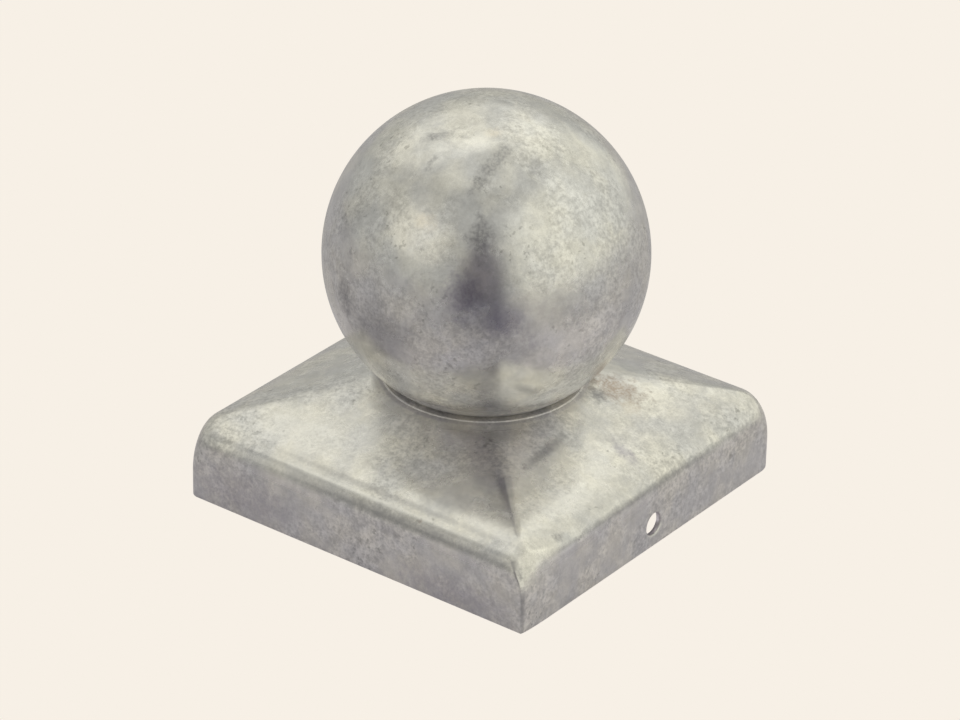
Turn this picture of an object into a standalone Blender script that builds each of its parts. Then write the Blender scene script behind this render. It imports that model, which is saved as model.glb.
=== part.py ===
"""Ball post cap of hot-dip galvanised sheet steel, for a square post.

Two pieces: a square cap pressed from one sheet, whose low hipped roof rises to a short
round collar, and a hollow ball that is seated in that collar. Metres, +Z up, with the
origin at the centre of the skirt's lower rim.
"""

import math

import bpy
from mathutils import Matrix, Vector

# The post that the cap fits, and the sheet that it is pressed from
POST_SIDE = 0.100
POST_CLEARANCE = 0.001
SHEET = 0.0015

# Skirt and the rounded shoulder above it
SKIRT_HEIGHT = 0.0146
SHOULDER_RADIUS = 0.005
CORNER_RADIUS = 0.0063
CORNER_ROLL_HEIGHT = 0.006

# Hipped roof
ROOF_SLOPE = math.radians(18.2)
HIP_RADIUS = 0.0025
HIP_TOE = 0.0052

# Low collar that the ball sits in
SEAT_RADIUS = 0.024
COLLAR_FOOT = 0.0008
COLLAR_HEIGHT = 0.001
SEAT_GAP = 0.0003

# Nail holes, one in each of the two skirt faces across X
NAIL_HOLE_DIAMETER = 0.006
NAIL_HOLE_HEIGHT = 0.006
CUT_PAST = 0.005

# Ball, and the vent in its underside that drains the zinc bath
BALL_DIAMETER = 0.080
BALL_SHEET = 0.0015
VENT_DIAMETER = 0.010

# Fineness of the curved surfaces
CORNER_STEPS = 6
SIDE_STEPS = 6
SKIRT_STEPS = 4
SHOULDER_STEPS = 6
TOE_STEPS = 4
ROOF_STEPS = 6
COLLAR_STEPS = 3
BALL_SEGMENTS = 44
BALL_STEPS = 22
HOLE_SIDES = 20

# Worked out from the sizes above
OUTER_HALF = POST_SIDE / 2 + POST_CLEARANCE + SHEET
ROOF_EDGE_HALF = OUTER_HALF - SHOULDER_RADIUS * (1 - math.sin(ROOF_SLOPE))
ROOF_EDGE_HEIGHT = SKIRT_HEIGHT + SHOULDER_RADIUS * math.cos(ROOF_SLOPE)
TOE_HALF = ROOF_EDGE_HALF - HIP_TOE
TOE_HEIGHT = ROOF_EDGE_HEIGHT + HIP_TOE * math.tan(ROOF_SLOPE)
COLLAR_RADIUS = SEAT_RADIUS + SHEET
FOOT_RADIUS = COLLAR_RADIUS + COLLAR_FOOT
BALL_RADIUS = BALL_DIAMETER / 2


def clear_scene():
    for obj in list(bpy.data.objects):
        bpy.data.objects.remove(obj, do_unlink=True)


def new_collection(name):
    collection = bpy.data.collections.new(name)
    bpy.context.scene.collection.children.link(collection)
    return collection


def zinc(name, colour, roughness):
    """A zinc coat on steel: a metal with a slightly warm grey."""
    material = bpy.data.materials.new(name)
    material.use_nodes = True
    shader = material.node_tree.nodes["Principled BSDF"]
    shader.inputs["Base Color"].default_value = (*colour, 1.0)
    shader.inputs["Metallic"].default_value = 1.0
    shader.inputs["Roughness"].default_value = roughness
    return material


def new_piece(name, mesh, material, collection):
    mesh.materials.append(material)
    piece = bpy.data.objects.new(name, mesh)
    collection.objects.link(piece)
    return piece


def add_wall(piece, thickness):
    """The sheet's thickness, put on the inner side of the surface."""
    wall = piece.modifiers.new("sheet", "SOLIDIFY")
    wall.thickness = thickness
    wall.offset = -1.0
    wall.use_even_offset = True


def all_round(quarter):
    """A quarter of an outline, repeated for the four corners of the cap."""
    turns = [Matrix.Rotation(corner * math.pi / 2, 2) for corner in range(4)]
    return [turn @ point for turn in turns for point in quarter]


def rounded_square(half, radius):
    """One corner's arc, then the straight side that follows it."""
    centre = half - radius
    quarter = []
    for step in range(CORNER_STEPS + 1):
        angle = math.pi / 2 * step / CORNER_STEPS
        quarter.append(Vector((centre + radius * math.cos(angle), centre + radius * math.sin(angle))))
    for step in range(1, SIDE_STEPS):
        quarter.append(Vector((centre * (1 - 2 * step / SIDE_STEPS), half)))
    return all_round(quarter)


def circle(radius):
    """As many points as a rounded square has, with the middle of each corner's on a diagonal."""
    spacing = math.pi / 2 / (CORNER_STEPS + SIDE_STEPS)
    first = math.pi / 4 - spacing * CORNER_STEPS / 2
    angles = [first + spacing * step for step in range(CORNER_STEPS + SIDE_STEPS)]
    return all_round([Vector((radius * math.cos(angle), radius * math.sin(angle))) for angle in angles])


def roof_height(point):
    """The roof's height over a point: level lines are squares with the hips' radius at each corner."""
    far, near = sorted((abs(point.x), abs(point.y)), reverse=True)
    half = far
    if far - near < HIP_RADIUS:
        centre = (far + near - math.sqrt(2 * HIP_RADIUS**2 - (far - near) ** 2)) / 2
        half = centre + HIP_RADIUS
    return ROOF_EDGE_HEIGHT + (ROOF_EDGE_HALF - half) * math.tan(ROOF_SLOPE)


def on_hip(radius):
    return Vector((radius, radius)) / math.sqrt(2)


def collar_foot_height():
    """The collar's foot is level, where the hips meet it."""
    return roof_height(on_hip(FOOT_RADIUS))


def seat_height():
    return collar_foot_height() + COLLAR_HEIGHT


def ball_height():
    """Where the ball's centre comes to when it rests in the collar's inner edge."""
    return seat_height() + math.sqrt((BALL_RADIUS + SEAT_GAP) ** 2 - SEAT_RADIUS**2)


def level(outline, height):
    return [(point.x, point.y, height) for point in outline]


def corner_reach(half, radius):
    """From the axis to the corner of a rounded square."""
    return (half - radius) * math.sqrt(2) + radius


def corner_radius(half, height):
    """The drawn corners roll in lower than the flat sides do, on a curve that runs up into the hip.

    The curve lies over the diagonal. Its three guides are the point where the corner stops being
    upright, the point where the upright would meet the hip's line, and the hip's toe.
    """
    start, end = corner_reach(OUTER_HALF, CORNER_RADIUS), corner_reach(TOE_HALF, HIP_RADIUS)
    meet_height = TOE_HEIGHT - (start - end) * math.tan(ROOF_SLOPE) / math.sqrt(2)
    bow = CORNER_ROLL_HEIGHT - 2 * meet_height + TOE_HEIGHT
    rise = 2 * (meet_height - CORNER_ROLL_HEIGHT)
    climb = max(height - CORNER_ROLL_HEIGHT, 0.0)
    share = 2 * climb / (rise + math.sqrt(rise * rise + 4 * bow * climb))
    reach = start - (start - end) * share * share
    return (half * math.sqrt(2) - reach) / (math.sqrt(2) - 1)


def skirt_rings():
    """Upright walls, whose corners roll in above an upright land."""
    yield level(rounded_square(OUTER_HALF, CORNER_RADIUS), 0.0)
    for step in range(SKIRT_STEPS + 1):
        height = CORNER_ROLL_HEIGHT + (SKIRT_HEIGHT - CORNER_ROLL_HEIGHT) * step / SKIRT_STEPS
        yield level(rounded_square(OUTER_HALF, corner_radius(OUTER_HALF, height)), height)


def shoulder_rings():
    """The bend from the skirt to the roof's slope."""
    for step in range(1, SHOULDER_STEPS + 1):
        angle = (math.pi / 2 - ROOF_SLOPE) * step / SHOULDER_STEPS
        half = OUTER_HALF - SHOULDER_RADIUS * (1 - math.cos(angle))
        height = SKIRT_HEIGHT + SHOULDER_RADIUS * math.sin(angle)
        yield level(rounded_square(half, corner_radius(half, height)), height)


def toe_rings():
    """The roof's lowest band, where the corners' wide round closes up into the hips."""
    for step in range(1, TOE_STEPS + 1):
        inward = HIP_TOE * step / TOE_STEPS
        half = ROOF_EDGE_HALF - inward
        height = ROOF_EDGE_HEIGHT + inward * math.tan(ROOF_SLOPE)
        yield level(rounded_square(half, corner_radius(half, height)), height)


def roof_rings():
    """Rings that turn from a square to the collar's round foot.

    They follow the hips, and between the hips each side sweeps up out of its plane to reach the
    level foot.
    """
    lifts = [collar_foot_height() - roof_height(point) for point in circle(FOOT_RADIUS)]
    for step in range(1, ROOF_STEPS + 1):
        share = step / ROOF_STEPS
        half = TOE_HALF + (FOOT_RADIUS - TOE_HALF) * share
        ring = []
        for square, round_foot, lift in zip(rounded_square(half, HIP_RADIUS), circle(half), lifts):
            point = square.lerp(round_foot, share * share)
            ring.append((point.x, point.y, roof_height(point) + lift * share * share))
        yield ring


def collar_rings():
    """The small fillet from the roof up into the collar, which ends at the rim."""
    for step in range(1, COLLAR_STEPS + 1):
        share = step / COLLAR_STEPS
        radius = COLLAR_RADIUS + COLLAR_FOOT * (1 - share) ** 2
        yield level(circle(radius), collar_foot_height() + COLLAR_HEIGHT * share * share)


def cap_surface():
    """The cap's outer surface, from the skirt's rim up to the collar's."""
    rings = [*skirt_rings(), *shoulder_rings(), *toe_rings(), *roof_rings(), *collar_rings()]
    count = len(rings[0])
    faces = []
    for lower in range(len(rings) - 1):
        for near in range(count):
            far = (near + 1) % count
            corners = (near, far, far + count, near + count)
            faces.append([lower * count + corner for corner in corners])
    mesh = bpy.data.meshes.new("cap")
    mesh.from_pydata([point for ring in rings for point in ring], [], faces)
    mesh.shade_smooth()
    mesh.set_sharp_from_angle(angle=math.radians(40))
    return mesh


def add_nail_holes(cap, cutters):
    """One bar across X, which cuts the holes in both faces in one line."""
    bpy.ops.mesh.primitive_cylinder_add(
        vertices=HOLE_SIDES,
        radius=NAIL_HOLE_DIAMETER / 2,
        depth=2 * (OUTER_HALF + CUT_PAST),
        location=(0.0, 0.0, NAIL_HOLE_HEIGHT),
        rotation=(0.0, math.pi / 2, 0.0),
    )
    cutter = bpy.context.object
    cutter.name = "nail_hole_cutter"
    for collection in list(cutter.users_collection):
        collection.objects.unlink(cutter)
    cutters.objects.link(cutter)
    cutter.hide_render = True
    cutter.display_type = "WIRE"
    cut = cap.modifiers.new("nail_holes", "BOOLEAN")
    cut.operation = "DIFFERENCE"
    cut.object = cutter


def ball_profile():
    """Half of the ball's outline, from its top down to the edge of the vent."""
    lowest = -math.acos(VENT_DIAMETER / 2 / BALL_RADIUS)
    points = []
    for step in range(BALL_STEPS + 1):
        angle = math.pi / 2 + (lowest - math.pi / 2) * step / BALL_STEPS
        points.append((BALL_RADIUS * math.cos(angle), 0.0, BALL_RADIUS * math.sin(angle)))
    mesh = bpy.data.meshes.new("ball")
    mesh.from_pydata(points, [(step, step + 1) for step in range(BALL_STEPS)], [])
    return mesh


def spin_round(piece, segments):
    turn = piece.modifiers.new("turn", "SCREW")
    turn.axis = "Z"
    turn.angle = 2 * math.pi
    turn.steps = segments
    turn.render_steps = segments
    turn.use_merge_vertices = True
    turn.merge_threshold = 0.0001
    turn.use_smooth_shade = True


clear_scene()
parts = new_collection("ball_post_cap")
cutters = new_collection("cutters")

cap = new_piece("cap", cap_surface(), zinc("galvanised_cap", (0.58, 0.57, 0.53), 0.42), parts)
add_wall(cap, SHEET)
add_nail_holes(cap, cutters)

ball = new_piece("ball", ball_profile(), zinc("galvanised_ball", (0.60, 0.59, 0.54), 0.36), parts)
spin_round(ball, BALL_SEGMENTS)
add_wall(ball, BALL_SHEET)
ball.parent = cap
ball.location = (0.0, 0.0, ball_height())
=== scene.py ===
"""Ball post cap: the hot-dip galvanised cap and its ball, with their finish, on a pale floor.

Metres, +Z up. The origin is the centre of the skirt's lower rim, which stands on the floor.
"""

import math

import bmesh
import bpy
from mathutils import Matrix, Vector


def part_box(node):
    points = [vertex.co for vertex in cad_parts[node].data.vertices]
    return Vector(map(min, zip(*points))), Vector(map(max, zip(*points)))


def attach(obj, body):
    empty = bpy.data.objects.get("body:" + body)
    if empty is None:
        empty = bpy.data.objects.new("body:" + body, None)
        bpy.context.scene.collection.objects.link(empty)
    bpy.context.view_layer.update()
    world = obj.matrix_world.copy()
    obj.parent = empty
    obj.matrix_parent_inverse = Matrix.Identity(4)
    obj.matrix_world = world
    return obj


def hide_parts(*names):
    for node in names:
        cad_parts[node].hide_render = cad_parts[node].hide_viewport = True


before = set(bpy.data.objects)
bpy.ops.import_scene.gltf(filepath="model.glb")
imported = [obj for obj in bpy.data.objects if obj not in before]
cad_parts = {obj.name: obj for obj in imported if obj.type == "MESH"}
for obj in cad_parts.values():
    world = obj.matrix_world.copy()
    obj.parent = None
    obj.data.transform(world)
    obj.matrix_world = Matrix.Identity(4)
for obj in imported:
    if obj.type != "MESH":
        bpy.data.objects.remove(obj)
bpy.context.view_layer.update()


# The camera stands off the corner between the face with the nail hole and the face to its left,
# and looks down at the roof through a long lens. It leans by about a degree, as the photo does.
CAMERA_TURN = math.radians(36.94)
CAMERA_RISE = math.radians(28.87)
CAMERA_LEAN = math.radians(1.21)
CAMERA_DISTANCE = 1.149
CAMERA_AIM = Vector((0.0, 0.0, 0.0315))
CAMERA_LENS = 175.7
CAMERA_SHIFT = (-0.0042, 0.0055)


def seen_from_camera(turn, rise):
    """A direction given as a turn to the camera's right and a rise above level."""
    around = CAMERA_TURN + turn
    level = math.cos(rise)
    return Vector((math.sin(around) * level, -math.cos(around) * level, math.sin(rise)))


def standing_off(direction, distance):
    """The place and turn of something that stands off in a direction and faces back."""
    facing = direction.to_track_quat("Z", "Y").to_matrix().to_4x4()
    return Matrix.Translation(direction * distance) @ facing


def place_camera():
    lens = bpy.data.cameras.new("camera")
    lens.lens = CAMERA_LENS
    lens.sensor_width = 36.0
    lens.shift_x, lens.shift_y = CAMERA_SHIFT
    camera = bpy.data.objects.new("camera", lens)
    bpy.context.scene.collection.objects.link(camera)
    off_aim = standing_off(seen_from_camera(0.0, CAMERA_RISE), CAMERA_DISTANCE)
    lean = Matrix.Rotation(CAMERA_LEAN, 4, "Z")
    camera.matrix_world = Matrix.Translation(CAMERA_AIM) @ off_aim @ lean
    bpy.context.scene.camera = camera


place_camera()


# The cap is pressed from one 1.5 mm steel sheet: an upright skirt, a rounded shoulder, a low hipped
# roof and a short collar. Two nail holes are punched in opposite sides, and the whole is then dipped
# in zinc, which softens every edge.
CAP_SHEET = 0.0015
CAP_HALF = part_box("cap")[1].x
SKIRT_TOP = 0.01435
SHOULDER_RADIUS = 0.005

# The press left the corners uneven: each takes its own length off the side before it and off the
# side after it, and starts to roll in at its own height. They are named as the camera sees them.
RIGHT_CORNER = (0.0063, 0.0063, 0.0075)
BACK_CORNER = (0.0063, 0.0063, 0.006)
LEFT_CORNER = (0.0088, 0.0045, 0.006)
NEAR_CORNER = (0.0007, 0.0105, 0.0085)
CORNERS = [RIGHT_CORNER, BACK_CORNER, LEFT_CORNER, NEAR_CORNER]

# A roof side leaves the shoulder steeply and is crowned until it runs straight. The rolled corners
# turn into hips over the toe, which is a short way in from the roof's edge.
ROOF_SLOPE = math.radians(17.4)
EDGE_SLOPE = math.radians(29)
ROOF_CROWN = 0.008
HIP_RADIUS = 0.0015
HIP_TOE = 0.0052
ROOF_EDGE_HALF = CAP_HALF - SHOULDER_RADIUS * (1 - math.sin(EDGE_SLOPE))
ROOF_EDGE_HEIGHT = SKIRT_TOP + SHOULDER_RADIUS * math.cos(EDGE_SLOPE)
TOE_HALF = ROOF_EDGE_HALF - HIP_TOE

# The collar curls up from its foot, and its lip ends a little below the highest point of the solid.
FOOT_RADIUS = 0.0254
COLLAR_LEAN = math.radians(68)
LIP_SUNK = 0.0002
LIP_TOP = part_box("cap")[1].z - LIP_SUNK
LIP_ROUND = 0.00025
LIP_REACH = 0.0229

NAIL_HOLE_RADIUS = 0.003
NAIL_HOLE_HEIGHT = 0.006
NAIL_HOLE_FLARE = 0.0002
SHEARED_EDGE = 0.0003
SHEARED_ANGLE = math.radians(50)

CORNER_STEPS = 16
SIDE_STEPS = 48
AROUND = 4 * (CORNER_STEPS + SIDE_STEPS)
SKIRT_RINGS = 12
SHOULDER_RINGS = 16
TOE_RINGS = 10
ROOF_RINGS = 24
COLLAR_RINGS = 8
LIP_RINGS = 5
FLARE_RINGS = 4
HOLE_AROUND = 48
PUNCH_PROUD = 0.004
SAME_PLACE = 0.00001


def rounded_square(half, corners):
    """One ring round the cap: for each corner its arc, then the straight side that follows.

    A corner's arc is part of an ellipse, given by how much it takes off each of its two sides.
    """
    ring = []
    for number, (before, after) in enumerate(corners):
        turn = Matrix.Rotation(number * math.pi / 2, 2)
        for step in range(CORNER_STEPS + 1):
            angle = math.pi / 2 * step / CORNER_STEPS
            across = half - after * (1 - math.cos(angle))
            along_side = half - before * (1 - math.sin(angle))
            ring.append(turn @ Vector((across, along_side)))
        start, end = half - after, half - corners[(number + 1) % 4][0]
        for step in range(1, SIDE_STEPS):
            ring.append(turn @ Vector((start - (start + end) * step / SIDE_STEPS, half)))
    return ring


def round_ring(radius):
    """As many points as a rounded square has, with each corner's middle on a diagonal."""
    first = math.pi / 4 - math.pi / 2 * CORNER_STEPS / 2 / (CORNER_STEPS + SIDE_STEPS)
    angles = [first + 2 * math.pi * step / AROUND for step in range(AROUND)]
    return [Vector((radius * math.cos(angle), radius * math.sin(angle))) for angle in angles]


def level_ring(points, height):
    return [(*point, height) for point in points]


def side_height(half):
    """A roof side's height at one distance from the axis: it is crowned where it meets the shoulder."""
    inward = ROOF_EDGE_HALF - half
    still_crowned = 1 - min(inward / ROOF_CROWN, 1.0)
    steeper = math.tan(EDGE_SLOPE) - math.tan(ROOF_SLOPE)
    crown = steeper * ROOF_CROWN / 2 * (1 - still_crowned * still_crowned)
    return ROOF_EDGE_HEIGHT + inward * math.tan(ROOF_SLOPE) + crown


def roof_height(point):
    """The roof's height at one point: its side's, or the hip's, which is rounded over."""
    far, near = sorted((abs(point.x), abs(point.y)), reverse=True)
    half = far
    if far - near < HIP_RADIUS:
        centre = (far + near - math.sqrt(2 * HIP_RADIUS**2 - (far - near) ** 2)) / 2
        half = centre + HIP_RADIUS
    return side_height(half)


def collar_foot_height():
    """The collar's foot is level, where the hips meet it."""
    return roof_height(Vector((FOOT_RADIUS, FOOT_RADIUS)) / math.sqrt(2))


def taken_off(ratio):
    """How far an elliptic corner falls short of the sharp one, as a share of its shorter half."""
    return (1 + ratio) / math.sqrt(2) - math.sqrt((1 + ratio * ratio) / 2)


def rolled_corners(half, height):
    """The corners at one height: each rolls in on a curve that runs up into its hip, and evens out."""
    corners = []
    toe_height = side_height(TOE_HALF)
    end = TOE_HALF * math.sqrt(2) - HIP_RADIUS * taken_off(1)
    for before, after, roll_height in CORNERS:
        shorter = min(before, after)
        ratio = max(before, after) / shorter
        start = CAP_HALF * math.sqrt(2) - shorter * taken_off(ratio)
        meet_height = toe_height - (start - end) * math.tan(ROOF_SLOPE) / math.sqrt(2)
        bow = roll_height - 2 * meet_height + toe_height
        rise = 2 * (meet_height - roll_height)
        climb = max(height - roll_height, 0.0)
        share = 2 * climb / (rise + math.sqrt(rise * rise + 4 * bow * climb))
        ratio = 1 + (ratio - 1) * (1 - min(share, 1.0)) ** 2
        reach = start - (start - end) * share * share
        shorter = (half * math.sqrt(2) - reach) / taken_off(ratio)
        corners.append((shorter * ratio, shorter) if before > after else (shorter, shorter * ratio))
    return corners


def rolled_ring(half, height):
    """One level ring of the cap, with its corners as far rolled in as they are at its height."""
    return level_ring(rounded_square(half, rolled_corners(half, height)), height)


def skirt_rings():
    for step in range(SKIRT_RINGS + 1):
        yield rolled_ring(CAP_HALF, SKIRT_TOP * step / SKIRT_RINGS)


def shoulder_rings():
    for step in range(1, SHOULDER_RINGS + 1):
        angle = (math.pi / 2 - EDGE_SLOPE) * step / SHOULDER_RINGS
        half = CAP_HALF - SHOULDER_RADIUS * (1 - math.cos(angle))
        yield rolled_ring(half, SKIRT_TOP + SHOULDER_RADIUS * math.sin(angle))


def toe_rings():
    for step in range(1, TOE_RINGS + 1):
        half = ROOF_EDGE_HALF - HIP_TOE * step / TOE_RINGS
        yield rolled_ring(half, side_height(half))


def roof_rings():
    """From the toe in to the collar's foot: the rings turn from squares to circles, and level out."""
    lifts = [collar_foot_height() - roof_height(point) for point in round_ring(FOOT_RADIUS)]
    for step in range(1, ROOF_RINGS + 1):
        share = step / ROOF_RINGS
        half = TOE_HALF + (FOOT_RADIUS - TOE_HALF) * share
        square = rounded_square(half, [(HIP_RADIUS, HIP_RADIUS)] * 4)
        ring = []
        for on_square, on_circle, lift in zip(square, round_ring(half), lifts):
            point = on_square.lerp(on_circle, share * share)
            ring.append((*point, roof_height(point) + lift * share * share))
        yield ring


def collar_rings():
    """A hollow curl from the roof's slope to the collar's lean, then the lip, rounded over inwards."""
    foot_height = collar_foot_height()
    rise = LIP_TOP - LIP_ROUND * (1 - math.cos(COLLAR_LEAN)) - foot_height
    hollow = rise / (math.cos(ROOF_SLOPE) - math.cos(COLLAR_LEAN))
    for step in range(1, COLLAR_RINGS + 1):
        tilt = ROOF_SLOPE + (COLLAR_LEAN - ROOF_SLOPE) * step / COLLAR_RINGS
        radius = FOOT_RADIUS - hollow * (math.sin(tilt) - math.sin(ROOF_SLOPE))
        height = foot_height + hollow * (math.cos(ROOF_SLOPE) - math.cos(tilt))
        yield level_ring(round_ring(radius), height)
    lip_middle = radius - LIP_ROUND * math.sin(COLLAR_LEAN)
    for step in range(1, LIP_RINGS + 1):
        tilt = COLLAR_LEAN * (1 - step / LIP_RINGS)
        height = LIP_TOP - LIP_ROUND * (1 - math.cos(tilt))
        yield level_ring(round_ring(lip_middle + LIP_ROUND * math.sin(tilt)), height)
    yield level_ring(round_ring(LIP_REACH), LIP_TOP)


def draw_through(rings):
    """Draws a ring of edges through the places given for it, one extrusion for each."""
    first, *others = rings
    shell = bmesh.new()
    turn = shell.verts.layers.int.new("turn")
    open_verts = bmesh.ops.create_circle(shell, segments=len(first), radius=1.0)["verts"]
    for number, vert in enumerate(open_verts):
        vert[turn] = number
        vert.co = first[number]
    open_edges = list(shell.edges)
    for ring in others:
        grown = bmesh.ops.extrude_edge_only(shell, edges=open_edges)["geom"]
        open_verts = [part for part in grown if isinstance(part, bmesh.types.BMVert)]
        for vert in open_verts:
            vert.co = ring[vert[turn]]
        rim = set(open_verts)
        grown_edges = [part for part in grown if isinstance(part, bmesh.types.BMEdge)]
        open_edges = [edge for edge in grown_edges if rim.issuperset(edge.verts)]
    bmesh.ops.recalc_face_normals(shell, faces=shell.faces)
    return shell


def spun(outline, axis, steps):
    """An outline in the plane of X and Z, turned once round an axis through the origin."""
    shell = bmesh.new()
    verts = [shell.verts.new((x, 0.0, z)) for x, z in outline]
    edges = [shell.edges.new(pair) for pair in zip(verts, verts[1:])]
    bmesh.ops.spin(
        shell,
        geom=verts + edges,
        cent=(0, 0, 0),
        axis=axis,
        angle=2 * math.pi,
        steps=steps,
        use_merge=True,
    )
    bmesh.ops.remove_doubles(shell, verts=shell.verts, dist=SAME_PLACE)
    bmesh.ops.recalc_face_normals(shell, faces=shell.faces)
    return shell


def as_object(name, shell):
    mesh = bpy.data.meshes.new(name)
    shell.to_mesh(mesh)
    shell.free()
    mesh.shade_smooth()
    piece = bpy.data.objects.new(name, mesh)
    bpy.context.scene.collection.objects.link(piece)
    return piece


def with_wall(piece, thickness):
    """The sheet's thickness on the inner side, with its sheared edges just broken."""
    wall = piece.modifiers.new("sheet", "SOLIDIFY")
    wall.thickness = thickness
    wall.offset = -1.0
    wall.use_even_offset = True
    edges = piece.modifiers.new("sheared_edges", "BEVEL")
    edges.limit_method = "ANGLE"
    edges.angle_limit = SHEARED_ANGLE
    edges.width = SHEARED_EDGE
    edges.segments = 3


def punch():
    """The punch for both nail holes: a bar along X that flares where it leaves the sheet."""
    end = CAP_HALF + PUNCH_PROUD
    outline = [(end, 0.0), (end, NAIL_HOLE_RADIUS + NAIL_HOLE_FLARE)]
    for step in range(FLARE_RINGS + 1):
        inward = math.sin(math.pi / 2 * step / FLARE_RINGS)
        radius = NAIL_HOLE_RADIUS + NAIL_HOLE_FLARE * (1 - inward)
        outline.append((CAP_HALF - NAIL_HOLE_FLARE * inward, radius))
    outline += [(-x, radius) for x, radius in reversed(outline)]
    tool = spun(outline, (1, 0, 0), HOLE_AROUND)
    bmesh.ops.translate(tool, verts=tool.verts, vec=(0.0, 0.0, NAIL_HOLE_HEIGHT))
    return as_object("punch", tool)


def finished(piece):
    """The piece with its modifiers made part of its mesh."""
    bpy.context.view_layer.update()
    seen = piece.evaluated_get(bpy.context.evaluated_depsgraph_get())
    mesh = bpy.data.meshes.new_from_object(seen)
    piece.modifiers.clear()
    piece.data = mesh
    return piece


rings = [*skirt_rings(), *shoulder_rings(), *toe_rings(), *roof_rings(), *collar_rings()]
cap = as_object("pressed_cap", draw_through(rings))
with_wall(cap, CAP_SHEET)
nail_punch = punch()
holes = cap.modifiers.new("nail_holes", "BOOLEAN")
holes.operation = "DIFFERENCE"
holes.object = nail_punch
finished(cap)
bpy.data.objects.remove(nail_punch)

# The zinc's tints, also used for painted shade and highlights, and where the seam round the ball's foot
# is dull, with dirt and painted shade
GREY_STAIN_AND_SHADE = (0.286, 0.28, 0.30)
PURPLE_STAIN_AND_SHADE = (0.393, 0.369, 0.437)
PALE_BLOOM_AND_HIGHLIGHT = (0.96, 0.94, 0.925)
RUST_BLUSH = (0.42, 0.352, 0.312)
WARM_BLOOM = (0.97, 0.88, 0.76)
COOL_VEIL = (0.99, 1.0, 1.035)
WARM_VEIL = (1.01, 1.0, 0.965)
VEIL_DEPTH = 0.05
PIT_DEPTH = 0.28
SKIRT_ROUGHNESS = 0.40
SEAM_ROUGHNESS = 0.62
SEAM_TOP = 0.036
SEAM_REACH = 0.028
MILLIMETRE = 0.001


def add(tree, kind, feeds=None, **settings):
    """A shader node of one kind. Feeds gives what its inputs take: values, or other nodes' outputs."""
    node = tree.nodes.new("ShaderNode" + kind)
    for name, value in settings.items():
        setattr(node, name, value)
    for name, value in (feeds or {}).items():
        if isinstance(value, bpy.types.NodeSocket):
            tree.links.new(value, node.inputs[name])
        else:
            node.inputs[name].default_value = value
    return node


def arithmetic(tree, operation, first, second=0.0):
    return add(tree, "Math", {0: first, 1: second}, operation=operation).outputs[0]


def plus(tree, first, second):
    return arithmetic(tree, "ADD", first, second)


def times(tree, first, second):
    return arithmetic(tree, "MULTIPLY", first, second)


def swing(tree, mask, amount):
    """A mask's swing to both sides of its middle, times an amount."""
    return times(tree, arithmetic(tree, "SUBTRACT", mask, 0.5), amount)


def vectors(tree, operation, first, second):
    return add(tree, "VectorMath", {0: first, 1: second}, operation=operation).outputs[0]


def length_of(tree, vector):
    return add(tree, "VectorMath", {0: vector}, operation="LENGTH").outputs["Value"]


def object_place(tree):
    return add(tree, "TexCoord").outputs["Object"]


def along(tree, axis, vector):
    return add(tree, "SeparateXYZ", {0: vector}).outputs[axis]


def noise(tree, place, scale, detail, roughness=0.5):
    """Cloudy noise, with its scale in clouds to the metre."""
    feeds = {"Vector": place, "Scale": scale, "Detail": detail, "Roughness": roughness}
    return add(tree, "TexNoise", feeds).outputs["Fac"]


def spread(tree, value, low, high, to_low=0.0, to_high=1.0):
    """Stretches a part of a mask's range, smoothly, to new ends."""
    feeds = {"Value": value, "From Min": low, "From Max": high, "To Min": to_low, "To Max": to_high}
    return add(tree, "MapRange", feeds, interpolation_type="SMOOTHSTEP").outputs["Result"]


def blended(tree, amount, first, second, how="MIX"):
    """Two colours laid over each other by an amount that may change over the surface."""
    mix = add(tree, "Mix", {0: amount, 6: first, 7: second}, data_type="RGBA", blend_type=how)
    return mix.outputs[2]


def new_group(name, takes, gives):
    """A shader node group with its sockets, and its two end nodes."""
    group = bpy.data.node_groups.new(name, "ShaderNodeTree")
    for socket_name, (kind, value) in takes.items():
        socket_type = "NodeSocket" + kind
        socket = group.interface.new_socket(socket_name, in_out="INPUT", socket_type=socket_type)
        socket.default_value = value
    for socket_name in gives:
        group.interface.new_socket(socket_name, in_out="OUTPUT", socket_type="NodeSocketFloat")
    return group, group.nodes.new("NodeGroupInput"), group.nodes.new("NodeGroupOutput")


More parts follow.
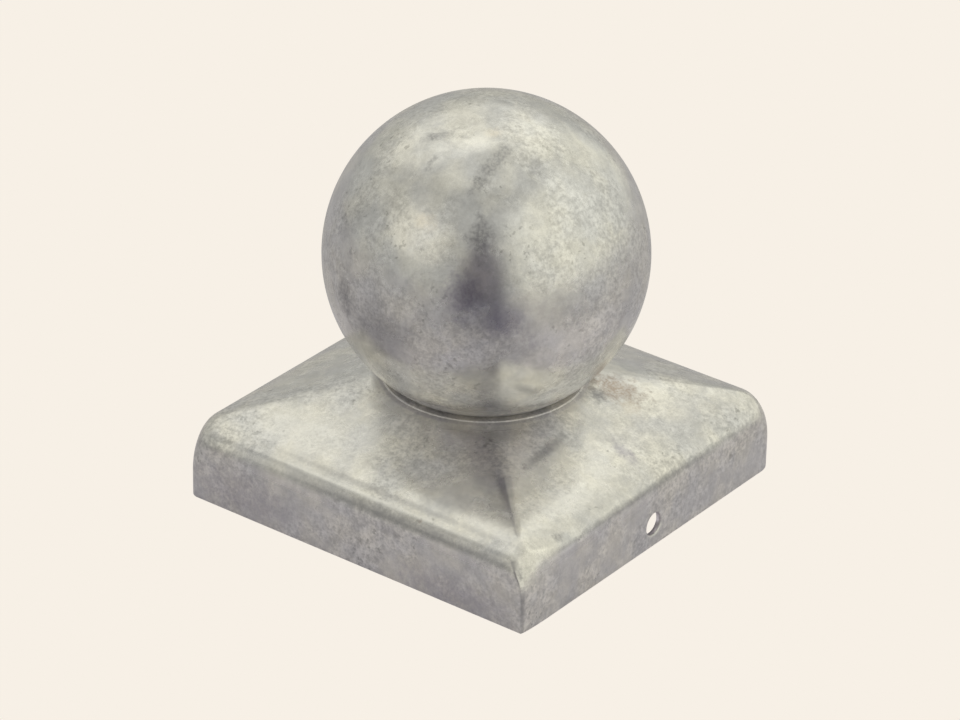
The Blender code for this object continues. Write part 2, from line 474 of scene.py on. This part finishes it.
def bloom_group():
    """Zinc as it freezes: quiet areas, and areas speckled by small crystals, with a few dark pits.

    Patch and Speck are sizes in metres, and Wisp Turn is the way in which thin wisps are drawn out.
    """
    takes = {
        "Patch": ("Float", 0.015),
        "Speck": ("Float", 0.0011),
        "Wisp Turn": ("Vector", (0.0, 0.0, 0.0)),
        "Offset": ("Vector", (0.0, 0.0, 0.0)),
    }
    gives = ("Cloud", "Busy", "Tone", "Grain", "Pits")
    group, given, result = new_group("zinc_bloom", takes, gives)
    place = vectors(group, "ADD", object_place(group), given.outputs["Offset"])
    drift = add(group, "TexNoise", {"Vector": place, "Scale": 200.0, "Detail": 3.0}).outputs["Color"]
    drift = vectors(group, "SUBTRACT", drift, (0.5, 0.5, 0.5))
    drift = vectors(group, "MULTIPLY", drift, (0.004, 0.004, 0.004))
    drifted = vectors(group, "ADD", place, drift)

    patch_scale = arithmetic(group, "DIVIDE", 1.0, given.outputs["Patch"])
    speck_scale = arithmetic(group, "DIVIDE", 1.0, given.outputs["Speck"])
    busy = spread(group, noise(group, drifted, patch_scale, 4.0, 0.6), 0.42, 0.60)
    mottle = noise(group, drifted, 270.0, 4.0, 0.6)
    speck = noise(group, place, speck_scale, 4.0, 0.72)
    feeds = {"Vector": drifted, "Rotation": given.outputs["Wisp Turn"]}
    turned = add(group, "Mapping", feeds, vector_type="TEXTURE").outputs[0]
    wisps = noise(group, vectors(group, "MULTIPLY", turned, (0.2, 1.0, 1.0)), 520.0, 4.0, 0.6)
    wisps = times(group, swing(group, wisps, 0.35), busy)
    speck = swing(group, speck, spread(group, busy, 0.0, 1.0, 0.24, 0.95))
    cloud = plus(group, swing(group, mottle, 0.38), wisps)
    cloud = plus(group, plus(group, cloud, speck), 0.5)

    veil = noise(group, drifted, 95.0, 4.0)
    grain = noise(group, place, 2600.0, 3.0, 0.7)
    pits = spread(group, noise(group, place, 620.0, 2.0), 0.60, 0.70)
    pitted = spread(group, noise(group, place, 75.0, 2.0), 0.52, 0.64)
    group.links.new(spread(group, cloud, 0.28, 0.72), result.inputs["Cloud"])
    group.links.new(busy, result.inputs["Busy"])
    group.links.new(spread(group, veil, 0.32, 0.68), result.inputs["Tone"])
    group.links.new(grain, result.inputs["Grain"])
    group.links.new(times(group, pits, pitted), result.inputs["Pits"])
    return group


def stain_and_light_group():
    """One soft-edged mark on the zinc, a stain or a painted shade or highlight: full in its middle, gone
    at its reach.

    The more ragged it is, the more its edge is torn and the more it breaks up into flecks.
    """
    takes = {
        "Centre": ("Vector", (0.0, 0.0, 0.0)),
        "Turn": ("Vector", (0.0, 0.0, 0.0)),
        "Reach": ("Vector", (0.01, 0.01, 0.01)),
        "Ragged": ("Float", 0.5),
        "Strength": ("Float", 0.5),
    }
    group, given, result = new_group("stain_and_light", takes, ["Mask"])
    place = object_place(group)
    feeds = {
        "Vector": place,
        "Location": given.outputs["Centre"],
        "Rotation": given.outputs["Turn"],
        "Scale": given.outputs["Reach"],
    }
    away = length_of(group, add(group, "Mapping", feeds, vector_type="TEXTURE").outputs[0])
    torn = swing(group, noise(group, place, 420.0, 5.0, 0.7), given.outputs["Ragged"])
    away = plus(group, away, times(group, torn, 2.2))
    full = spread(group, away, 1.0, 0.15)
    flecks = noise(group, place, 1500.0, 2.0)
    between = arithmetic(group, "SUBTRACT", 1.0, times(group, given.outputs["Ragged"], 0.4))
    full = times(group, full, spread(group, flecks, 0.40, 0.60, between, 1.0))
    group.links.new(times(group, full, given.outputs["Strength"]), result.inputs["Mask"])
    return group


def seam_group():
    """The seam where the ball sits in the collar, which no rain or cloth reaches.

    Dull is the zinc's roughness there. Mask is a darker ring round the axis, its dirt with painted shade
    of the crevice, more of it on one side than on another.
    """
    takes = {"Radius": ("Float", 0.025), "Width": ("Float", 0.001), "Strength": ("Float", 0.5)}
    group, given, result = new_group("seam", takes, ["Mask", "Dull"])
    place = object_place(group)
    away = length_of(group, vectors(group, "MULTIPLY", place, (1.0, 1.0, 0.0)))
    low = spread(group, along(group, "Z", place), SEAM_TOP + 0.002, SEAM_TOP - 0.002)
    dull = spread(group, away, SEAM_REACH + 0.0015, SEAM_REACH - 0.0015, 0.0, SEAM_ROUGHNESS)
    group.links.new(times(group, dull, low), result.inputs["Dull"])
    off_ring = arithmetic(group, "SUBTRACT", away, given.outputs["Radius"])
    share = arithmetic(group, "DIVIDE", arithmetic(group, "ABSOLUTE", off_ring), given.outputs["Width"])
    uneven = spread(group, noise(group, place, 55.0, 4.0, 0.65), 0.3, 0.6, 0.35, 1.0)
    full = times(group, times(group, spread(group, share, 1.0, 0.2), uneven), low)
    group.links.new(times(group, full, given.outputs["Strength"]), result.inputs["Mask"])
    return group


ZINC_BLOOM = bloom_group()
STAIN_AND_LIGHT = stain_and_light_group()
SEAM = seam_group()


def in_radians(angles):
    return [math.radians(angle) for angle in angles]


def zinc_colour(tree, bloom, tones):
    """Speckle between a dark and a pale tone, under a veil that drifts in hue and in depth."""
    dark, pale = tones
    colour = blended(tree, bloom.outputs["Cloud"], (*dark, 1.0), (*pale, 1.0))
    hue = blended(tree, bloom.outputs["Tone"], (*COOL_VEIL, 1.0), (*WARM_VEIL, 1.0))
    colour = blended(tree, 1.0, colour, hue, "MULTIPLY")
    depth = spread(tree, bloom.outputs["Tone"], 0.0, 1.0, 1.0 - VEIL_DEPTH, 1.0 + VEIL_DEPTH)
    depth = times(tree, depth, spread(tree, bloom.outputs["Grain"], 0.2, 0.8, 0.94, 1.06))
    depth = times(tree, depth, spread(tree, bloom.outputs["Pits"], 0.0, 1.0, 1.0, 1.0 - PIT_DEPTH))
    return blended(tree, 1.0, colour, depth, "MULTIPLY")


def marked(tree, colour, marks):
    """The zinc's colour with each mark laid over it in turn."""
    for tint, centre, reach, turn, ragged, strength in marks:
        feeds = {
            "Centre": Vector(centre) * MILLIMETRE,
            "Reach": Vector(reach) * MILLIMETRE,
            "Turn": in_radians(turn),
            "Ragged": ragged,
            "Strength": strength,
        }
        mask = add(tree, "Group", feeds, node_tree=STAIN_AND_LIGHT).outputs["Mask"]
        colour = blended(tree, mask, colour, (*tint, 1.0))
    return colour


def zinc_roughness(tree, bloom, shine):
    """Quiet zinc is smoother than speckled zinc, and the skirt is duller than either."""
    smooth, speckled = shine
    roughness = spread(tree, bloom.outputs["Busy"], 0.0, 1.0, smooth, speckled)
    height = along(tree, "Z", object_place(tree))
    below = spread(tree, height, SKIRT_TOP + 0.001, SKIRT_TOP - 0.002)
    return arithmetic(tree, "MAXIMUM", roughness, times(tree, below, SKIRT_ROUGHNESS))


def zinc_material(name, tones, shine, dirt_and_shade, wisp_turn, offset, marks):
    """The zinc coat of one piece, with its own marks.

    Shine is the roughness of quiet and of speckled zinc. Dirt and shade give the radius, the width
    and the strength of the seam's darker ring: its dirt, with painted shade of the crevice.
    """
    material = bpy.data.materials.new(name)
    material.use_nodes = True
    tree = material.node_tree
    shader = tree.nodes["Principled BSDF"]
    feeds = {"Wisp Turn": in_radians(wisp_turn), "Offset": offset}
    bloom = add(tree, "Group", feeds, node_tree=ZINC_BLOOM)
    seam = add(tree, "Group", dict(zip(("Radius", "Width", "Strength"), dirt_and_shade)), node_tree=SEAM)
    colour = marked(tree, zinc_colour(tree, bloom, tones), marks)
    # The seam's darker ring: painted shade of the crevice, with its dirt
    colour = blended(tree, seam.outputs["Mask"], colour, (*PURPLE_STAIN_AND_SHADE, 1.0))
    roughness = zinc_roughness(tree, bloom, shine)
    roughness = arithmetic(tree, "MAXIMUM", roughness, seam.outputs["Dull"])
    height = plus(tree, times(tree, bloom.outputs["Grain"], 0.35), bloom.outputs["Cloud"])
    relief = add(tree, "Bump", {"Height": height, "Strength": 0.3, "Distance": 0.00002})
    tree.links.new(colour, shader.inputs["Base Color"])
    tree.links.new(roughness, shader.inputs["Roughness"])
    tree.links.new(relief.outputs["Normal"], shader.inputs["Normal"])
    shader.inputs["Metallic"].default_value = 1.0
    return material


# Each mark is a tint, its centre and its reach in millimetres, its turn in degrees, how ragged it
# is, and its strength. Left and right are as the camera sees them, and later marks lie on top.
CAP_MARKS = [
    # Painted highlights, in pale bloom, along the roof's left edge and at both sides of the near corner
    (PALE_BLOOM_AND_HIGHLIGHT, (-24.0, -41.0, 22.0), (24.0, 9.0, 6.0), (0, 0, 0), 0.8, 0.55),
    (PALE_BLOOM_AND_HIGHLIGHT, (36.0, -45.5, 20.5), (11.0, 3.0, 3.0), (0, 0, 0), 0.6, 0.80),
    (PALE_BLOOM_AND_HIGHLIGHT, (44.0, -28.0, 21.0), (6.0, 17.0, 5.0), (0, 0, 0), 0.9, 0.60),
    # The grey right end of the roof, and the near hip's painted shade on its dark flank and painted
    # highlight on its pale flank
    (GREY_STAIN_AND_SHADE, (42.0, 24.0, 21.5), (10.0, 30.0, 6.0), (0, 0, 0), 0.9, 0.30),
    (PURPLE_STAIN_AND_SHADE, (21.5, -29.5, 26.5), (17.0, 4.5, 5.0), (0, 0, -44), 0.4, 0.30),
    (PALE_BLOOM_AND_HIGHLIGHT, (29.5, -24.0, 25.5), (11.0, 5.0, 5.0), (0, 0, -44), 0.4, 0.50),
    # A fleck and a streak on the right side of the roof, and the rust by the collar
    (PURPLE_STAIN_AND_SHADE, (42.5, 1.0, 22.0), (8.0, 3.0, 4.0), (0, 0, -16), 0.8, 0.60),
    (GREY_STAIN_AND_SHADE, (31.5, -16.5, 25.8), (2.2, 13.0, 3.0), (0, 0, 4), 0.5, 0.75),
    (RUST_BLUSH, (27.6, 16.8, 27.4), (12.5, 7.0, 4.5), (0, 0, 32), 1.1, 0.95),
    (GREY_STAIN_AND_SHADE, (27.0, 10.4, 28.0), (3.0, 4.4, 3.2), (0, 0, 30), 0.7, 0.92),
    # A fleck and a band of painted shade on the right shoulder, and painted shadow above the nail hole
    (GREY_STAIN_AND_SHADE, (50.2, -36.5, 18.5), (1.6, 2.2, 1.6), (0, 0, 0), 1.4, 0.55),
    (GREY_STAIN_AND_SHADE, (52.3, 0.0, 16.5), (1.5, 50.0, 1.9), (0, 0, 0), 0.5, 0.70),
    (GREY_STAIN_AND_SHADE, (52.5, 0.6, 10.6), (1.5, 3.6, 2.6), (0, 0, 0), 0.8, 0.35),
    # Painted shade: a dark patch in the near corner's crease, and the dark line down its edge
    (GREY_STAIN_AND_SHADE, (51.0, -51.8, 15.4), (2.6, 2.0, 2.4), (0, 0, 40), 0.9, 0.85),
    (GREY_STAIN_AND_SHADE, (52.3, -52.4, 7.5), (1.0, 1.6, 12.0), (0, 0, 0), 0.3, 0.85),
    # Flecks on the left face, and the left corner's dark edge
    (GREY_STAIN_AND_SHADE, (13.0, -52.5, 12.8), (5.0, 1.5, 1.6), (0, 0, 0), 1.0, 0.40),
    (RUST_BLUSH, (20.3, -50.9, 18.2), (0.9, 0.9, 0.9), (0, 0, 0), 0.4, 0.70),
    (GREY_STAIN_AND_SHADE, (-44.0, -51.8, 15.4), (9.0, 2.0, 1.6), (0, 0, 0), 0.9, 0.40),
    # The left shoulder's painted shading: a grey line, a pale highlight below it, and a dark band where
    # the skirt starts
    (GREY_STAIN_AND_SHADE, (6.0, -48.2, 19.9), (46.0, 1.4, 3.0), (0, 0, 0), 0.4, 0.45),
    (PALE_BLOOM_AND_HIGHLIGHT, (4.0, -50.4, 18.8), (50.0, 1.0, 1.2), (0, 0, 0), 0.4, 0.70),
    (GREY_STAIN_AND_SHADE, (18.0, -52.0, 16.8), (66.0, 3.0, 2.0), (0, 0, 0), 0.3, 0.82),
    # Darker cast on both ends of the left skirt, and thin casts round the rust
    (PURPLE_STAIN_AND_SHADE, (-34.0, -52.5, 6.0), (24.0, 2.0, 9.0), (0, 0, 0), 0.9, 0.46),
    (PURPLE_STAIN_AND_SHADE, (32.0, -52.5, 3.0), (22.0, 2.0, 7.0), (0, 0, 0), 0.9, 0.46),
    (WARM_BLOOM, (34.0, 14.5, 25.2), (4.0, 3.5, 3.0), (0, 0, 0), 0.9, 0.40),
    (GREY_STAIN_AND_SHADE, (36.0, 10.0, 24.0), (13.0, 17.0, 6.0), (0, 0, 0), 1.0, 0.26),
]
cap.data.materials.append(
    zinc_material(
        "cap_zinc",
        tones=((0.56, 0.548, 0.544), (0.90, 0.878, 0.86)),
        shine=(0.24, 0.34),
        dirt_and_shade=(0.0257, 0.0008, 0.45),
        wisp_turn=(0, 0, 35),
        offset=(0, 0, 0),
        marks=CAP_MARKS,
    )
)
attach(cap, "root")
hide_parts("cap")


# The ball is a hollow steel ball of the same sheet, dipped with a vent in its underside, and it
# rests in the collar's inner edge. Its zinc is smoother than the cap's, dark where it ran, and painted
# with a reflection and shade.
BALL_SHEET = 0.0015
BALL_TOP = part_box("ball")[1].z
BALL_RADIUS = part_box("ball")[1].x
VENT_RADIUS = 0.005
BALL_AROUND = 168
BALL_RINGS = 96


def ball_outline():
    """Half of the ball's outline, from its top down to the vent's edge."""
    centre = BALL_TOP - BALL_RADIUS
    vent_edge = -math.acos(VENT_RADIUS / BALL_RADIUS)
    for step in range(BALL_RINGS + 1):
        angle = math.pi / 2 + (vent_edge - math.pi / 2) * step / BALL_RINGS
        yield BALL_RADIUS * math.cos(angle), centre + BALL_RADIUS * math.sin(angle)


ball = as_object("hollow_ball", spun(ball_outline(), (0, 0, 1), BALL_AROUND))
with_wall(ball, BALL_SHEET)
finished(ball)
BALL_MARKS = [
    # The dark drop in the middle, a painted reflection of a dark shape: its tip, its belly, and its
    # lower right
    (GREY_STAIN_AND_SHADE, (18.6, -27.4, 84.0), (4.0, 6.0, 8.0), (0, 0, 34), 1.1, 0.75),
    (PURPLE_STAIN_AND_SHADE, (18.6, -34.0, 71.5), (6.2, 8.0, 9.0), (0, 0, 34), 0.8, 0.80),
    (PURPLE_STAIN_AND_SHADE, (27.0, -29.3, 65.0), (7.0, 6.0, 6.0), (0, 0, 40), 0.5, 0.70),
    # The slanted streak above it, and the one near the top
    (GREY_STAIN_AND_SHADE, (13.2, -16.5, 96.2), (2.8, 14.0, 9.0), (0, 0, 2), 1.1, 0.62),
    (GREY_STAIN_AND_SHADE, (-3.0, -15.8, 98.9), (12.0, 2.2, 3.0), (0, 0, 24), 1.3, 0.50),
    # Warm and pale bloom in the bright areas
    (WARM_BLOOM, (5.9, -32.1, 85.6), (4.5, 4.0, 3.0), (0, 0, 0), 0.6, 0.45),
    (WARM_BLOOM, (7.9, -8.9, 100.6), (2.6, 2.6, 2.0), (0, 0, 0), 0.9, 0.45),
    (PALE_BLOOM_AND_HIGHLIGHT, (7.0, -13.5, 99.0), (5.0, 5.0, 4.0), (0, 0, 0), 0.7, 0.60),
    (PALE_BLOOM_AND_HIGHLIGHT, (-9.0, -14.0, 98.0), (8.0, 7.0, 5.0), (0, 0, 0), 1.0, 0.30),
    # Flecks and runs down the left, then painted shade on the grey underpart, and on its darker right
    (GREY_STAIN_AND_SHADE, (-15.0, -32.0, 80.0), (7.0, 6.0, 9.0), (0, 0, 0), 1.6, 0.35),
    (GREY_STAIN_AND_SHADE, (-14.5, -36.3, 63.0), (4.0, 6.0, 9.0), (0, 0, -20), 1.0, 0.50),
    (GREY_STAIN_AND_SHADE, (-13.0, -37.0, 60.5), (2.6, 4.0, 9.0), (0, 0, -20), 0.8, 0.60),
    (GREY_STAIN_AND_SHADE, (-1.5, -39.0, 56.0), (15.0, 8.0, 11.0), (0, 0, 0), 0.5, 0.62),
    (GREY_STAIN_AND_SHADE, (30.0, -25.8, 57.5), (9.0, 9.0, 7.0), (0, 0, 0), 0.6, 0.42),
    # Two specks near the top
    (GREY_STAIN_AND_SHADE, (0.0, -22.6, 95.4), (1.4, 2.4, 2.4), (0, 0, 0), 1.2, 0.55),
    (GREY_STAIN_AND_SHADE, (-4.0, -16.5, 98.6), (1.8, 1.8, 1.8), (0, 0, 0), 1.2, 0.50),
]
ball.data.materials.append(
    zinc_material(
        "ball_zinc",
        tones=((0.57, 0.558, 0.555), (0.895, 0.878, 0.865)),
        shine=(0.22, 0.31),
        dirt_and_shade=(0.0238, 0.0006, 0.55),
        wisp_turn=(20, 35, 60),
        offset=(0.3, 0, 0),
        marks=BALL_MARKS,
    )
)
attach(ball, "root")
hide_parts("ball")


# The studio is a pale, glossy floor that runs into a backdrop of the same tone, with large soft
# boxes to both sides, behind and above. One dark stand in front, and the darker floor before it,
# give the zinc its dark reflections.
BACKDROP = (0.9301, 0.8714, 0.7913)
DOME = (0.525, 0.525, 0.475)
FLOOR_HALF = 3.0
FLOOR_ROUGHNESS = 0.25
FLOOR_PAINT = (0.60, 0.58, 0.64)
FLOOR_SHADE = (0.33, 0.325, 0.40)
FLOOR_GLOW = (1.0, 0.96, 1.0)
GLOW_INSIDE_CAP = 0.59
GLOW_AROUND_CAP = 0.10
GLOW_ON_RIGHT = 0.12
BOX_DISTANCE = 1.6
STAND_DISTANCE = 0.62
STAND_HALF_WIDTH = 0.21
STAND_HEIGHT = 0.66
STAND_SHADE = (0.30, 0.285, 0.345)


def backdrop_shown(tree, surface, output):
    """The camera sees the backdrop's own tone, and everything else sees the surface as it is lit."""
    kind = "Emission" if output.type == "OUTPUT_MATERIAL" else "Background"
    tone = add(tree, kind, {"Color": (*BACKDROP, 1.0)})
    camera_ray = add(tree, "LightPath").outputs["Is Camera Ray"]
    mix = add(tree, "MixShader", {0: camera_ray, 1: surface.outputs[0], 2: tone.outputs[0]})
    tree.links.new(mix.outputs[0], output.inputs["Surface"])


def floor_paint(tree, place):
    """The board's colour, with a painted shadow in a wedge that opens from the cap towards the camera.
    """
    turned = add(tree, "Mapping", {"Vector": place, "Rotation": (0.0, 0.0, -CAMERA_TURN)}).outputs[0]
    aside = arithmetic(tree, "ABSOLUTE", along(tree, "X", turned))
    ahead = times(tree, along(tree, "Y", turned), -1.0)
    wedge = spread(tree, arithmetic(tree, "DIVIDE", aside, ahead), 0.40, 0.15)
    wedge = times(tree, wedge, spread(tree, ahead, 0.095, 0.15))
    return blended(tree, wedge, (*FLOOR_PAINT, 1.0), (*FLOOR_SHADE, 1.0))


def floor_glow(tree, place):
    """How much the board glows: strongly inside the cap, a little round it and on its right."""
    away = length_of(tree, place)
    inside = spread(tree, away, 0.040, 0.048, GLOW_INSIDE_CAP, 0.0)
    around = spread(tree, away, 0.060, 0.125, GLOW_AROUND_CAP, 0.0)
    on_right = spread(tree, along(tree, "X", place), 0.078, 0.098, 0.0, GLOW_ON_RIGHT)
    on_right = times(tree, on_right, spread(tree, away, 0.16, 0.12))
    return plus(tree, plus(tree, around, inside), on_right)


def lay_floor():
    sheet = bmesh.new()
    bmesh.ops.create_grid(sheet, x_segments=1, y_segments=1, size=FLOOR_HALF)
    floor = as_object("floor", sheet)
    material = bpy.data.materials.new("floor_board")
    material.use_nodes = True
    tree = material.node_tree
    board = tree.nodes["Principled BSDF"]
    board.inputs["Roughness"].default_value = FLOOR_ROUGHNESS
    board.inputs["Emission Color"].default_value = (*FLOOR_GLOW, 1.0)
    place = object_place(tree)
    tree.links.new(floor_paint(tree, place), board.inputs["Base Color"])
    tree.links.new(floor_glow(tree, place), board.inputs["Emission Strength"])
    backdrop_shown(tree, board, tree.nodes["Material Output"])
    floor.data.materials.append(material)


def light_dome():
    """Even light from every side where no box stands."""
    world = bpy.data.worlds.new("studio")
    bpy.context.scene.world = world
    world.use_nodes = True
    tree = world.node_tree
    tree.nodes.clear()
    dome = add(tree, "Background", {"Color": (*DOME, 1.0)})
    backdrop_shown(tree, dome, add(tree, "OutputWorld"))


def soft_box(name, turn, rise, width, height, glow, colour):
    """A flat panel that faces the cap. Its glow is its own brightness, whatever its size."""
    light = bpy.data.lights.new(name, "AREA")
    light.shape = "RECTANGLE"
    light.size = width
    light.size_y = height
    light.energy = glow * math.pi * width * height
    light.color = colour
    panel = bpy.data.objects.new(name, light)
    bpy.context.scene.collection.objects.link(panel)
    out = seen_from_camera(math.radians(turn), math.radians(rise))
    panel.matrix_world = standing_off(out, BOX_DISTANCE)
    panel.visible_camera = False


def dark_stand(turn):
    """The one dark thing in the studio: an upright card, a round-topped one with soft edges."""
    half_size = (STAND_HALF_WIDTH, STAND_HEIGHT / 2, 1.0)
    card_mesh = bmesh.new()
    bmesh.ops.create_grid(card_mesh, x_segments=1, y_segments=1, size=1.0)
    bmesh.ops.scale(card_mesh, verts=card_mesh.verts, vec=half_size)
    bmesh.ops.translate(card_mesh, verts=card_mesh.verts, vec=(0.0, STAND_HEIGHT / 2, 0.0))
    card = as_object("dark_stand", card_mesh)
    card.matrix_world = standing_off(seen_from_camera(math.radians(turn), 0.0), STAND_DISTANCE)
    material = bpy.data.materials.new("dark_stand")
    material.use_nodes = True
    tree = material.node_tree
    shader = tree.nodes["Principled BSDF"]
    shader.inputs["Base Color"].default_value = (*STAND_SHADE, 1.0)
    shader.inputs["Roughness"].default_value = 1.0
    whole_size = (STAND_HALF_WIDTH, STAND_HEIGHT, 1.0)
    away = length_of(tree, vectors(tree, "DIVIDE", object_place(tree), whole_size))
    tree.links.new(spread(tree, away, 1.0, 0.6), shader.inputs["Alpha"])
    card.data.materials.append(material)
    card.visible_camera = False


lay_floor()
light_dome()
soft_box("right_box", turn=58, rise=22, width=2.0, height=2.4, glow=0.336, colour=(1.0, 1.0, 0.817))
soft_box("far_right_box", turn=122, rise=22, width=1.9, height=2.4, glow=0.286, colour=(1.0, 1.0, 0.817))
soft_box("left_box", turn=-56, rise=30, width=1.0, height=0.8, glow=0.336, colour=(1.0, 0.97, 0.808))
soft_box("back_box", turn=-165, rise=52, width=2.2, height=1.4, glow=0.311, colour=(1.0, 0.99, 0.846))
soft_box("top_box", turn=180, rise=86, width=1.6, height=1.2, glow=0.185, colour=(1.0, 1.0, 0.855))
dark_stand(turn=-3)

bpy.context.scene.view_settings.view_transform = "Standard"
